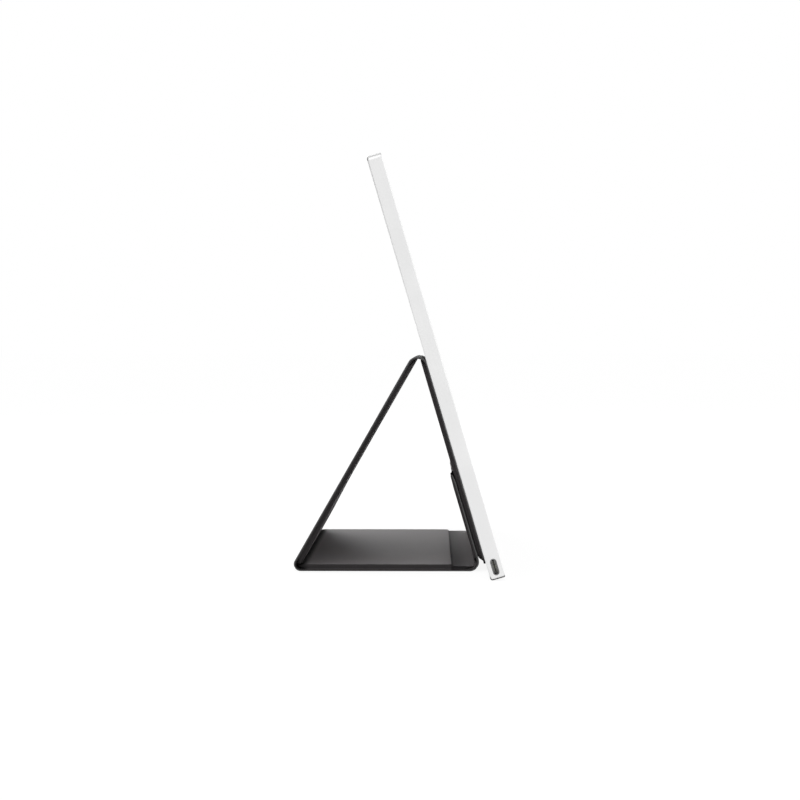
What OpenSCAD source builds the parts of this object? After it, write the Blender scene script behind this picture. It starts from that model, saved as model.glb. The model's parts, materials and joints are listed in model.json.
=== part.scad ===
// Portable monitor on a folded magnetic cover.
// The monitor leans back on the cover, which is folded into a triangular stand behind it.
// X runs from the rear of the stand to the screen, Y along the screen's width, Z up.
// The origin is the middle of the base panel's underside.

/* [Monitor] */
// Width of the monitor, across the screen
mon_w = 360; // [352:1:380]
// Height of the monitor, along its lean
mon_h = 243; // [240:1:262]
// Thickness of the monitor
mon_t = 8.3; // [8.2:0.1:9.5]
// Lean of the monitor back from upright
lean = 16.4; // [12:0.2:20]
// Radius of the four corners, seen from the front
corner_r = 3; // [2.5:0.5:6]
// Radius along the rear edge of the housing
rear_edge_r = 1.4; // [0.8:0.1:2]
// Radius along the front edge of the housing
front_edge_r = 0.6; // [0.3:0.1:0.9]
// Thickness of the housing's rear wall
floor_t = 0.8; // [0.6:0.1:1]
// Thickness of the housing's side walls
wall_t = 1.2; // [1:0.1:1.5]

/* [Screen] */
// Bezel at each side of the lit area
side_bezel = 7.65; // [7.5:0.05:12]
// Bezel above the lit area
top_bezel = 8; // [8:0.1:12]
// Bezel below the lit area
bottom_bezel = 19.6; // [18:0.1:24]
// Thickness of the bezel
bezel_t = 1.0; // [0.8:0.1:1.1]
// Thickness of the screen's glass cell
cell_t = 1.0; // [0.8:0.1:1.1]
// Thickness of the light guide plate
guide_t = 0.7; // [0.5:0.05:0.8]
// Thickness of the panel's steel back plate
back_plate_t = 0.3; // [0.2:0.05:0.4]

/* [Boards and sockets] */
// Thickness of the circuit boards
pcb_t = 0.8; // [0.6:0.1:1]
// Distance of the sockets' middle above the monitor's lower end
socket_rise = 7.1; // [6.8:0.1:7.6]
// Outer width of a USB-C socket
socket_w = 8.94; // [8.9:0.01:9]
// Outer height of a USB-C socket
socket_h = 3.16; // [3.1:0.01:3.2]
// Depth of a USB-C socket
socket_d = 7.3; // [6.5:0.1:9]
// Sheet thickness of the socket shell
shell_t = 0.3; // [0.2:0.05:0.35]

/* [Buttons] */
// Length of a side button
button_len = 12; // [9:0.5:14]
// Width of a side button
button_w = 2.6; // [2:0.1:2.8]
// How far a button stands out of the side wall
button_out = 0.5; // [0.4:0.05:0.8]
// Travel of a button
button_travel = 0.35; // [0.2:0.05:0.4]
// Height of the power button's middle above the lower end
power_rise = 62; // [56:1:75]
// Height of the menu button's middle above the lower end
menu_rise = 42; // [36:1:46]

/* [Cover] */
// Width of the cover, along its folds
cover_w = 250; // [220:1:270]
// Thickness of the rear panel
back_t = 3.25; // [2.8:0.05:3.6]
// Thickness of the leg panel
leg_t = 3.1; // [2.8:0.1:3.6]
// Thickness of the leg panel's foot, which is padded
leg_foot_t = 4; // [3.6:0.1:4.2]
// Length of the leg panel's foot
leg_foot_len = 14; // [8:1:20]
// Length over which the leg panel thins above its foot
leg_taper_len = 26; // [16:1:36]
// Thickness of the base panel
base_t = 3.8; // [3.4:0.1:4.2]
// Thickness of the base panel's front strip
front_strip_t = 2.8; // [2:0.1:3.2]
// Thickness of the front flap
flap_t = 2.2; // [2.1:0.1:2.7]
// Thickness of the outer skin
skin_t = 0.7; // [0.5:0.05:0.9]
// Thickness of the lining
lining_t = 0.6; // [0.4:0.05:0.7]
// Distance of the apex fold from the monitor's lower end, along its rear face
apex_rise = 124; // [118:0.1:128]
// Distance between the apex fold and the rear fold
leg_len = 131.6; // [128:0.1:136]
// Height of the rear panel's free edge, along the monitor
back_free_rise = 4.4; // [4:0.1:6]
// Length of the front flap, above its fold
flap_len = 52; // [40:1:60]
// Length of the base panel's front strip, which has no board
bare_strip = 9.5; // [6:0.5:14]
// Length over which the rear panel's free end thins
free_slope = 4.2; // [2:0.2:6]
// Length over which the front flap's free end thins to its tip
tip_len = 7; // [5:0.5:9]
// Thickness of the front flap's tip
tip_t = 0.8; // [0.6:0.1:1.2]
// Outer radius of the apex fold
apex_r = 6; // [5.6:0.1:6.4]
// Outer radius of the rear fold
rear_r = 4.0; // [3.8:0.1:4.6]
// Outer radius of the front fold
front_r = 5.4; // [5:0.1:6]
// Inset of a panel's pad from the edge of the skin
pad_inset = 1.2; // [0.8:0.1:2]
// Corner radius of the panels
panel_corner_r = 5; // [3:0.5:7]

/* [Magnets] */
// Length of a bar magnet
magnet_len = 24; // [16:1:30]
// Width of a bar magnet
magnet_w = 8; // [6:0.5:10]
// Thickness of a bar magnet
magnet_t = 1.2; // [0.8:0.1:1.3]
// Thickness of a magnet of the front flap
flap_magnet_t = 0.6; // [0.4:0.1:0.6]
// Distance between neighbouring magnets of the rear panel
magnet_pitch = 56; // [50:1:60]
// Distance between neighbouring magnets of the front flap
flap_magnet_pitch = 70; // [60:1:80]
// Height of the lower row of magnets, along the monitor
low_row = 35; // [30:1:37]
// Height of the upper row of magnets, along the monitor
high_row = 100; // [90:1:110]

/* [Hidden] */
$fn = 64;
// running clearance of a button in its slot
slide_gap = 0.15;
// distance between the cover and the monitor's rear face
cover_gap = 0.1;
// distance between the front flap and the rear panel
flap_gap = 0.15;
// clearance round a part that drops into a pocket
fit_gap = 0.1;
// clearance round a socket in its opening
socket_gap = 0.2;
// gap between a panel and the fold strip that carries on from it
seam_gap = 0.02;
// overlap of a cutter past the face that it cuts
past = 1;

// stack of layers from the rear face of the monitor to its front face
bezel_drop = 0.2;
bezel_x1 = mon_t - bezel_drop;
bezel_x0 = bezel_x1 - bezel_t;
tape_t = 0.2;
cell_x1 = bezel_x0 - tape_t;
cell_x0 = cell_x1 - cell_t;
film_t = 0.15;
prism_t = 0.3;
guide_x1 = cell_x0 - fit_gap - prism_t - film_t;
guide_x0 = guide_x1 - guide_t;
plate_x1 = guide_x0 - film_t;
plate_x0 = plate_x1 - back_plate_t;
socket_x = mon_t / 2;
pcb_x1 = socket_x - socket_h / 2;
pcb_x0 = pcb_x1 - pcb_t;

// screen and panel module, seen from the front
half_w = mon_w / 2;
active_half = half_w - side_bezel;
active_z0 = bottom_bezel;
active_z1 = mon_h - top_bezel;
window_gap = 0.3;
window_r = 0.6;
module_rim = 3.1;
module_foot = 5.1;
module_half = active_half + module_rim;
module_z1 = active_z1 + module_rim;
module_z0 = active_z0 - module_foot;
frame_rim = 2.4;
frame_foot = 2.3;
cell_inset = 0.9;
guide_z0 = module_z0 + frame_foot + 1.2;
tape_gap = 0.6;
plate_lip = 0.5;
led_pitch = 6;
led_len = 3;
led_rise = 0.8;
led_base_t = 0.2;
led_end = 4;
foam_w = 6;
foam_edge = 2;
foam_top = 40;
foam_rise = 20;

// boards, with the places of what they carry measured from their corners
board_edge = wall_t + 0.4;
board_corner_r = corner_r - board_edge;
main_y1 = -half_w / 3;
main_z1 = 58;
side_board_w = 26;
side_board_over = 9;
side_board_z1 = power_rise + side_board_over;
boss_r = 2;
boss_hole_r = 0.8;
screw_shank_r = 0.7;
screw_head_r = 1.4;
screw_head_t = 0.5;
slot_len = 1.7;
slot_w = 0.3;
screw_rows = [18, 52];
screw_cols = [8 - half_w, main_y1 - 5, half_w - 22];
screw_spots = [for (z = screw_rows, y = screw_cols) [y, z]];
// [y, z, length, width, height] of the main board's parts, y from the monitor's end
chips = [
    [30, 38, 14, 14, 1.2], [62, 40, 12, 12, 1.2], [84, 44, 9, 7, 1.0], [84, 30, 6, 6, 1.0],
    [46, 22, 8, 6, 1.1], [30, 20, 6, 5, 1.0], [62, 22, 5, 5, 1.2]
];
timing_t = 0.8;
timing_w = 12;
timing_y = half_w * [-0.28, 0.61];
timing_z0 = module_z0 + plate_lip;
timing_z1 = timing_z0 + timing_w;
timing_chip = 8;
timing_chip_t = 0.5;
timing_chip_y = half_w * [0.11, 0.33];

// ribbons
ribbon_t = 0.2;
ribbon_w = 8;
display_x0 = plate_x0 - timing_t - 2 * ribbon_t;
display_z = [22, 27];
display_reach = 16;
display_conn = 10;
side_ribbon_z = [4, 9.6];
side_ribbon_reach = [4, 6];
light_y = -half_w * 2 / 3;
light_overlap = 4;
tail_count = 6;
tail_w = 16;
tail_z = [3, 2.5];

// sockets
opening_w = socket_w - 2 * shell_t;
opening_h = socket_h - 2 * shell_t;
tongue_w = 6.7;
tongue_t = 0.7;
tongue_len = 4.6;

// buttons
flange_t = 0.6;
flange_rim = 0.7;
button_x = pcb_x1 + 1.1;
plunger_w = 1.4;
plunger_len = 1.2;
plunger_y = half_w - wall_t - flange_t - slide_gap - plunger_len;
switch_gap = 0.1;
switch_y = plunger_y - button_travel - switch_gap;
switch_len = 3.6;
switch_t = 1.2;
switch_deep = 2.4;
button_clear_y = half_w - wall_t - flange_t - button_travel - 3 * slide_gap;

// magnets
magnet_rows = [low_row, high_row];
magnet_cols = magnet_pitch * [-1.5, -0.5, 0.5, 1.5];
flap_magnet_cols = flap_magnet_pitch * [-1, 0, 1];
foam_cols = magnet_pitch * [-1, 0, 1];
keeper_t = 0.4;

// fold axes, with the monitor's lower rear edge at [foot_x, 0]
function lean_point(x, z) =
    [foot_x + x * cos(lean) - z * sin(lean), x * sin(lean) + z * cos(lean)];
apex_off = cover_gap + apex_r;
front_off = cover_gap + back_t + flap_gap + front_r;
front_rise = (front_r + front_off * sin(lean)) / cos(lean);
apex_dx = -apex_off * cos(lean) - apex_rise * sin(lean);
apex_z = -apex_off * sin(lean) + apex_rise * cos(lean);
front_dx = -front_off * cos(lean) - front_rise * sin(lean);
rear_dx = apex_dx - sqrt(leg_len * leg_len - (apex_z - rear_r) * (apex_z - rear_r));
foot_x = -(front_dx + rear_dx) / 2;
apex_c = [foot_x + apex_dx, apex_z];
rear_c = [foot_x + rear_dx, rear_r];
front_c = [foot_x + front_dx, front_r];
base_len = front_c.x - rear_c.x;
leg_tilt = asin((apex_r - rear_r) / leg_len);
leg_span = leg_len * cos(leg_tilt);
leg_angle = atan2(apex_c.x - rear_c.x, apex_c.y - rear_c.y) - leg_tilt;

// directions of the panels' outer faces, counted from +X towards +Z
back_face = lean;
leg_face = 180 - leg_angle;
base_face = 270;
flap_face = 360 + lean;

apex_turn = leg_face - back_face;
rear_turn = base_face - leg_face;
front_turn = flap_face - base_face;

// layers of a panel, and where its board starts and ends along it
strip_t = skin_t + lining_t;
board_start = 2.4;
score_bite = 0.25;
back_len = apex_rise - back_free_rise;
back_board = [board_start, back_len - free_slope];
leg_board = [board_start, leg_span - board_start];
base_board = [bare_strip + board_start, base_len - board_start];
flap_board_z = [tip_len + board_start - flap_len, -board_start];

// how far a pad reaches past the end of its panel, at the depth x, into a fold of outer radius r:
// it follows the strip's inner side and stops short of the pad that comes from the other side
tuck_gap = 0.1;
tuck_lip = 0.05;
tuck_angle = 3;
tuck_steps = 8;
function tuck(x, r, turn) =
    min(sqrt(max(0, pow(r - strip_t - tuck_gap, 2) - pow(r - x, 2))),
        max(0, r - x) * tan(turn / 2 - tuck_angle));
function pad_x(t, i) =
    strip_t + tuck_lip + (t - strip_t - tuck_lip) * i / tuck_steps;
// ends of a pad of thickness t in a fold, at the start of its panel and at the panel's end z
function low_end(t, r, turn) = concat([[skin_t, seam_gap]],
    [for (i = [0:tuck_steps]) [pad_x(t, i), seam_gap - tuck(pad_x(t, i), r, turn)]]);
function high_end(t, r, turn, z) = concat(
    [for (i = [tuck_steps:-1:0]) [pad_x(t, i), z - seam_gap + tuck(pad_x(t, i), r, turn)]],
    [[skin_t, z - seam_gap]]);

// side views of the pads, across the panel and along it
step_len = 1.2;
flap_step_len = 6;
tip_lift = 0.2;
tip_z = tip_len - flap_len;
tip_end = tip_lift + tip_t;
back_side = concat(low_end(back_t, apex_r, apex_turn),
    [[back_t, back_len - free_slope], [skin_t, back_len - pad_inset]]);
leg_side = concat(low_end(leg_foot_t, rear_r, rear_turn),
    [[leg_foot_t, leg_foot_len], [leg_t, leg_foot_len + leg_taper_len]],
    high_end(leg_t, apex_r, apex_turn, leg_span));
base_side = concat(low_end(front_strip_t, front_r, front_turn),
    [[front_strip_t, bare_strip], [base_t, bare_strip + step_len]],
    high_end(base_t, rear_r, rear_turn, base_len));
flap_side = concat([[skin_t, -flap_len], [tip_end, -flap_len], [flap_t, tip_z],
    [flap_t, -flap_step_len]], high_end(front_strip_t, front_r, front_turn, 0));

// rows of magnets and keepers that hold the front flap, along their panels
keeper_drop = 14;
keeper_rise = front_rise + flap_len - keeper_drop;
keeper_x = back_t - lining_t - keeper_t;
flap_magnet_z = front_rise - keeper_rise;

// ---- shapes shared by several sub-parts ----

// rectangle from [a0, b0] to [a1, b1] with round corners of radius r
module rounded(a0, b0, a1, b1, r) {
    if (r > 0) {
        translate([a0 + r, b0]) square([a1 - a0 - 2 * r, b1 - b0]);
        translate([a0, b0 + r]) square([a1 - a0, b1 - b0 - 2 * r]);
        for (a = [a0 + r, a1 - r], b = [b0 + r, b1 - r]) translate([a, b]) circle(r);
    } else {
        translate([a0, b0]) square([a1 - a0, b1 - b0]);
    }
}

// extrudes an outline drawn in Y and Z from x0 to x1
module along_x(x0, x1) {
    translate([x0, 0, 0]) rotate([90, 0, 90]) linear_extrude(x1 - x0) children();
}

// extrudes an outline drawn in X and Z from y0 to y1
module along_y(y0, y1) {
    translate([0, y1, 0]) rotate([90, 0, 0]) linear_extrude(y1 - y0) children();
}

// plate between x0 and x1, with its outline from [y0, z0] to [y1, z1]
module plate(x0, x1, y0, z0, y1, z1, r = 0) {
    along_x(x0, x1) rounded(y0, z0, y1, z1, r);
}

// flat ring between two outlines
module ring(x0, x1, outer, inner, outer_r = 0, inner_r = 0) {
    along_x(x0, x1) difference() {
        rounded(outer[0], outer[1], outer[2], outer[3], outer_r);
        rounded(inner[0], inner[1], inner[2], inner[3], inner_r);
    }
}

// places what is drawn upright, with its rear face on X = 0, at the monitor's lean
module leaning() {
    translate([foot_x, 0, 0]) rotate([0, -lean, 0]) children();
}

// places a panel drawn with its outer face on X = 0 and its length along Z,
// so that it runs from the fold round centre c, of outer radius r
module at_fold(c, r, face) {
    translate([c.x, 0, c.y]) rotate([0, -face - 180, 0]) translate([-r, 0, 0]) children();
}

// outline of a panel from z0 to z1, with round corners at one end only
module panel_outline(z0, z1, inset, round_low, round_high, r) {
    half = cover_w / 2 - inset;
    rounded(-half, z0, half, z1, r);
    if (!round_low) translate([-half, z0]) square([2 * half, r]);
    if (!round_high) translate([-half, z1 - r]) square([2 * half, r]);
}

// what a side view of a panel, drawn in X and Z, leaves of the panel's outline
module panel_slab(side, z0, z1, inset, round_low, round_high, r) {
    intersection() {
        along_y(-cover_w / 2 - past, cover_w / 2 + past) polygon(side);
        along_x(-past, leg_foot_t + past) panel_outline(z0, z1, inset, round_low, round_high, r);
    }
}

module panel_skin(z0, z1, round_high = false) {
    along_x(0, skin_t) panel_outline(z0, z1, 0, false, round_high, panel_corner_r);
}

// cover of a panel's board: a thin sheet over the whole panel, up to z1, and a raised pad
// with the given side view, inside an outline from pad[0] to pad[1]
module panel_lining(z1, pad, side, board, t, round_high = false) {
    difference() {
        union() {
            along_x(skin_t, strip_t)
                panel_outline(seam_gap, z1, 0, false, round_high, panel_corner_r);
            panel_slab(side, pad[0], pad[1], pad_inset, true, true, panel_corner_r - pad_inset);
        }
        board_blank(board, t, past);
    }
}

// stiffening board of a panel of thickness t, drawn deeper by extra to cut its place
module board_blank(board, t, extra = 0) {
    along_x(skin_t - extra, t - lining_t)
        panel_outline(board[0], board[1], pad_inset + lining_t, true, true,
            panel_corner_r - pad_inset - lining_t);
}

// bars in a row across a panel, centred at height z, from x0 inwards
module bars(cols, z, x0, t, grow = 0) {
    for (y = cols)
        plate(x0 - grow, x0 + t + grow, y - magnet_len / 2 - grow, z - magnet_w / 2 - grow,
            y + magnet_len / 2 + grow, z + magnet_w / 2 + grow);
}

// layer of a fold strip between two radii, from the angle a0 to the angle a1
module fold_layer(c, r0, r1, a0, a1) {
    far = 3 * r1;
    mid = (a0 + a1) / 2;
    translate([c.x, 0, c.y]) along_y(-cover_w / 2, cover_w / 2) intersection() {
        difference() {
            circle(r1);
            circle(r0);
        }
        polygon([[0, 0], far * [cos(a0), sin(a0)], far * [cos(mid - 30), sin(mid - 30)],
            far * [cos(mid + 30), sin(mid + 30)], far * [cos(a1), sin(a1)]]);
    }
}

// distance of a fold's turning axis from its centre: about it the strip keeps its length
// between the folded shape and the flat one
function axis_reach(r, turn) = (r - strip_t / 2) * (turn / 2 * PI / 180) / sin(turn / 2);

module fold_skin(c, r, a0, a1) {
    mid = (a0 + a1) / 2;
    reach = axis_reach(r, a1 - a0);
    difference() {
        fold_layer(c, r - skin_t, r, a0, a1);
        // score line pressed along the crown, round the turning axis
        translate([c.x + reach * cos(mid), 0, c.y + reach * sin(mid)]) rotate([90, 0, 0])
            cylinder(h = cover_w + 2 * past, r = reach - r + score_bite, center = true);
    }
}

module fold_lining(c, r, a0, a1) {
    fold_layer(c, r - strip_t, r - skin_t, a0, a1);
}

// ---- monitor ----

// everything outside a quarter round of radius r, off by a along the first axis
module round_edge(a, r) {
    difference() {
        translate([a - past, -past]) square(r + past);
        translate([a + r, r]) circle(r);
    }
}

// cutter that rounds the edge of the housing at X = 0 all the way round
module edge_cut(r) {
    for (side = [0, 1]) {
        mirror([0, side, 0]) translate([0, -half_w, corner_r])
            linear_extrude(mon_h - 2 * corner_r) round_edge(0, r);
        translate([0, 0, side * mon_h]) mirror([0, 0, side]) rotate([90, 0, 0])
            linear_extrude(mon_w - 2 * corner_r, center = true) round_edge(0, r);
    }
    for (y = [-1, 1], z = [-1, 1])
        translate([0, y * (half_w - corner_r), mon_h / 2 + z * (mon_h / 2 - corner_r)])
            intersection() {
                rotate([0, 90, 0]) rotate_extrude() difference() {
                    translate([corner_r - r, -past]) square(r + past);
                    translate([corner_r - r, r]) circle(r);
                }
                plate(-2 * past, r + past, min(0, 2 * y * corner_r), min(0, 2 * z * corner_r),
                    max(0, 2 * y * corner_r), max(0, 2 * z * corner_r));
            }
}

// slot with round ends through a side wall, centred at height z
module side_slot(x, z, len, wid, y0, y1) {
    straight = len - wid;
    along_y(y0, y1) translate([x, z]) {
        square([wid, straight], center = true);
        for (end = [-1, 1]) translate([0, end * straight / 2]) circle(d = wid);
    }
}

module board_bosses() {
    for (s = screw_spots) translate([floor_t, s.x, s.y]) rotate([0, 90, 0])
        cylinder(h = pcb_x0 - floor_t, r = boss_r);
}

module rear_housing() {
    inner = [-half_w + wall_t, wall_t, half_w - wall_t, mon_h - wall_t];
    color("silver") leaning() difference() {
        union() {
            difference() {
                plate(0, mon_t, -half_w, 0, half_w, mon_h, corner_r);
                edge_cut(rear_edge_r);
                translate([mon_t, 0, 0]) mirror([1, 0, 0]) edge_cut(front_edge_r);
                plate(floor_t, mon_t + past, inner[0], inner[1], inner[2], inner[3],
                    corner_r - wall_t);
            }
            board_bosses();
        }
        for (s = screw_spots) translate([floor_t, s.x, s.y]) rotate([0, 90, 0])
            cylinder(h = mon_t, r = boss_hole_r);
        for (side = [-1, 1])
            side_slot(socket_x, socket_rise, socket_w + 2 * socket_gap, socket_h + 2 * socket_gap,
                side * half_w - corner_r, side * half_w + corner_r);
        for (z = [power_rise, menu_rise])
            side_slot(button_x, z, button_len + 2 * slide_gap, button_w + 2 * slide_gap,
                half_w - wall_t - past, half_w + past);
    }
}

module front_bezel() {
    rim = wall_t + fit_gap;
    color([0.07, 0.07, 0.075]) leaning()
        ring(bezel_x0, bezel_x1, [-half_w + rim, rim, half_w - rim, mon_h - rim],
            [-active_half - window_gap, active_z0 - window_gap,
             active_half + window_gap, active_z1 + window_gap], corner_r - rim, window_r);
}

module bezel_tape() {
    gap = tape_gap;
    color([0.2, 0.2, 0.2]) leaning()
        ring(cell_x1, bezel_x0,
            [-module_half + gap, active_z0 - foam_edge, module_half - gap, module_z1 - gap],
            [-active_half - gap, active_z0 - gap, active_half + gap, active_z1 + gap]);
}

module lcd_cell() {
    edge = module_half - cell_inset;
    color([0.02, 0.02, 0.03]) leaning()
        plate(cell_x0, cell_x1, -edge, module_z0 + cell_inset, edge, module_z1 - cell_inset);
}

module light_layer(x0, x1) {
    edge = module_half - frame_rim - fit_gap;
    leaning() plate(x0, x1, -edge, guide_z0, edge, module_z1 - frame_rim - fit_gap);
}

module prism_films() {
    color([0.9, 0.92, 0.95, 0.6]) light_layer(cell_x0 - fit_gap - prism_t, cell_x0 - fit_gap);
}
module diffuser_film() { color([0.95, 0.95, 0.95]) light_layer(guide_x1, guide_x1 + film_t); }
module light_guide_plate() { color([0.85, 0.93, 0.95]) light_layer(guide_x0, guide_x1); }
module reflector_sheet() { color("white") light_layer(plate_x1, guide_x0); }

module led_strip() {
    led_z = guide_z0 - led_rise;
    reach = module_half - frame_rim - led_end;
    count = floor(2 * reach / led_pitch);
    color([0.95, 0.9, 0.6]) leaning() {
        plate(plate_x1, guide_x1, -reach, led_z - led_base_t, reach, led_z);
        for (i = [0:count - 1])
            plate(guide_x0, guide_x1, -reach + i * led_pitch + led_len / 2, led_z,
                -reach + i * led_pitch + 1.5 * led_len, guide_z0);
    }
}

module panel_frame() {
    rim = frame_rim;
    cell = cell_inset - fit_gap;
    color([0.9, 0.9, 0.88]) leaning() difference() {
        union() {
            ring(plate_x1, cell_x0, [-module_half, module_z0, module_half, module_z1],
                [-module_half + rim, module_z0 + frame_foot, module_half - rim, module_z1 - rim]);
            ring(cell_x0, cell_x1, [-module_half, module_z0, module_half, module_z1],
                [-module_half + cell, module_z0 + cell, module_half - cell, module_z1 - cell]);
        }
        // notch that lets the light ribbon out
        plate(plate_x1 - past, cell_x0 - prism_t, light_y - ribbon_w, module_z0 - past,
            light_y + ribbon_w, guide_z0);
    }
}

module panel_back_plate() {
    color([0.75, 0.75, 0.77]) leaning()
        plate(plate_x0, plate_x1, -module_half + plate_lip, module_z0 + plate_lip,
            module_half - plate_lip, module_z1 - plate_lip);
}

module timing_board() {
    chip_z1 = timing_z1 - (timing_w - timing_chip) / 4;
    color([0.1, 0.4, 0.25]) leaning() {
        plate(plate_x0 - timing_t, plate_x0, timing_y[0], timing_z0, timing_y[1], timing_z1);
        for (y = timing_chip_y)
            plate(plate_x0 - timing_t - timing_chip_t, plate_x0 - timing_t,
                y - timing_chip / 2, chip_z1 - timing_chip, y + timing_chip / 2, chip_z1);
    }
}

// thin strip that folds round the lower edge of the panel, from its face to a board behind it
module wrap_strip(front_x, front_z, back_x, back_z, y, w) {
    low = module_z0 - fit_gap - ribbon_t;
    leaning() {
        plate(front_x - ribbon_t, front_x, y - w / 2, low, y + w / 2, front_z);
        plate(back_x - ribbon_t, front_x, y - w / 2, low, y + w / 2, low + ribbon_t);
        plate(back_x - ribbon_t, back_x, y - w / 2, low, y + w / 2, back_z);
    }
}

module cell_flex_tails() {
    pitch = (timing_y[1] - timing_y[0]) / tail_count;
    color([0.75, 0.5, 0.2]) for (i = [0:tail_count - 1])
        wrap_strip(cell_x1 + ribbon_t, module_z0 + tail_z[0], plate_x0 - timing_t,
            timing_z0 + tail_z[1], timing_y[0] + (i + 0.5) * pitch, tail_w);
}

module foam_strips() {
    edge = module_half - foam_edge;
    top = module_z1 - foam_edge;
    color([0.15, 0.15, 0.15]) leaning() {
        plate(floor_t, plate_x0, -edge, top - foam_w, edge, top);
        for (side = [-1, 1])
            plate(floor_t, plate_x0, side * (edge - foam_w / 2) - foam_w / 2, top / 3,
                side * (edge - foam_w / 2) + foam_w / 2, top - foam_w - foam_edge / 2);
        for (y = foam_cols)
            plate(floor_t, plate_x0, y - foam_w / 2, main_z1 + foam_rise, y + foam_w / 2,
                top - foam_top);
    }
}

module board(y0, y1, z1) {
    leaning() difference() {
        plate(pcb_x0, pcb_x1, y0, board_edge, y1, z1, board_corner_r);
        for (s = screw_spots) translate([pcb_x0 - past, s.x, s.y]) rotate([0, 90, 0])
            cylinder(h = pcb_t + 2 * past, r = boss_hole_r + fit_gap);
    }
}

module main_board() { color([0.1, 0.35, 0.2]) board(-half_w + board_edge, main_y1, main_z1); }

module side_board() {
    color([0.1, 0.35, 0.2]) difference() {
        board(half_w - board_edge - side_board_w, half_w - board_edge, side_board_z1);
        // step that clears the buttons' flanges
        leaning() plate(pcb_x0 - past, pcb_x1 + past, button_clear_y,
            menu_rise - button_len, half_w, side_board_z1 + past);
    }
}

module main_board_chips() {
    conn_y1 = main_y1 - display_reach + display_conn;
    color([0.12, 0.12, 0.13]) leaning() {
        for (c = chips)
            plate(pcb_x1, pcb_x1 + c[4], -half_w + c.x - c[2] / 2, c.y - c[3] / 2,
                -half_w + c.x + c[2] / 2, c.y + c[3] / 2);
        // connector of the display ribbon
        plate(pcb_x1, display_x0, conn_y1 - display_conn, display_z[0] - shell_t,
            conn_y1, display_z[1] + shell_t);
    }
}

module display_ribbon() {
    color([0.85, 0.85, 0.8]) leaning()
        plate(display_x0, display_x0 + ribbon_t, main_y1 - display_reach, display_z[0],
            timing_y[0] + display_conn, display_z[1]);
}

module side_ribbon() {
    color([0.8, 0.5, 0.2]) leaning()
        plate(pcb_x1, pcb_x1 + ribbon_t, main_y1 - side_ribbon_reach[0], side_ribbon_z[0],
            half_w - board_edge - side_board_w + side_ribbon_reach[1], side_ribbon_z[1]);
}

module light_ribbon() {
    color([0.8, 0.5, 0.2]) wrap_strip(guide_x0 + ribbon_t, guide_z0 - led_rise - led_base_t,
        pcb_x1 + ribbon_t, module_z0 + light_overlap, light_y, ribbon_w);
}

module board_screws() {
    shank = pcb_x1 - floor_t - fit_gap;
    color([0.3, 0.3, 0.32]) leaning()
        for (s = screw_spots) translate([pcb_x1, s.x, s.y]) rotate([0, 90, 0]) difference() {
            union() {
                cylinder(h = screw_head_t, r = screw_head_r);
                translate([0, 0, -shank]) cylinder(h = shank, r = screw_shank_r);
            }
            for (a = [0, 90]) translate([0, 0, screw_head_t]) rotate([0, 0, a])
                cube([slot_len, slot_w, screw_head_t], center = true);
        }
}

module usb_c_shell(side) {
    color([0.8, 0.8, 0.82]) leaning() mirror([0, side > 0 ? 1 : 0, 0]) difference() {
        side_slot(socket_x, socket_rise, socket_w, socket_h, -half_w, -half_w + socket_d);
        side_slot(socket_x, socket_rise, opening_w, opening_h, -half_w - past,
            -half_w + socket_d - 2 * shell_t);
    }
}

module usb_c_tongue(side) {
    back = -half_w + socket_d - 2 * shell_t;
    color([0.08, 0.08, 0.08]) leaning() mirror([0, side > 0 ? 1 : 0, 0])
        along_y(back - tongue_len, back)
            rounded(socket_x - tongue_t / 2, socket_rise - tongue_w / 2,
                socket_x + tongue_t / 2, socket_rise + tongue_w / 2, tongue_t / 3);
}

module usb_c_shell_left() { usb_c_shell(-1); }
module usb_c_tongue_left() { usb_c_tongue(-1); }
module usb_c_shell_right() { usb_c_shell(1); }
module usb_c_tongue_right() { usb_c_tongue(1); }

module button_switches() {
    color([0.85, 0.85, 0.87]) leaning() for (z = [power_rise, menu_rise])
        plate(pcb_x1, pcb_x1 + switch_t, switch_y - switch_deep, z - switch_len / 2,
            switch_y, z + switch_len / 2);
}

module side_button(z) {
    inner_wall = half_w - wall_t - slide_gap;
    leaning() {
        side_slot(button_x, z, button_len, button_w, inner_wall, half_w + button_out);
        side_slot(button_x, z, button_len + 2 * flange_rim, button_w + 2 * flange_rim,
            inner_wall - flange_t, inner_wall);
        along_y(plunger_y, inner_wall - flange_t)
            rounded(button_x - plunger_w / 2, z - plunger_w / 2,
                button_x + plunger_w / 2, z + plunger_w / 2, plunger_w / 4);
    }
}
module power_button() { color("silver") side_button(power_rise); }
module menu_button() { color("silver") side_button(menu_rise); }

module housing_magnets() {
    color([0.6, 0.6, 0.62]) leaning() for (z = magnet_rows, y = magnet_cols)
        if (z > main_z1 || y > main_y1 + magnet_len / 2)
            plate(floor_t, floor_t + magnet_t, y - magnet_len / 2, z - magnet_w / 2,
                y + magnet_len / 2, z + magnet_w / 2);
}

// ---- cover: rear panel, against the monitor ----

module at_back() { at_fold(apex_c, apex_r, back_face) children(); }
function back_z(rise) = apex_rise - rise;

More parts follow.
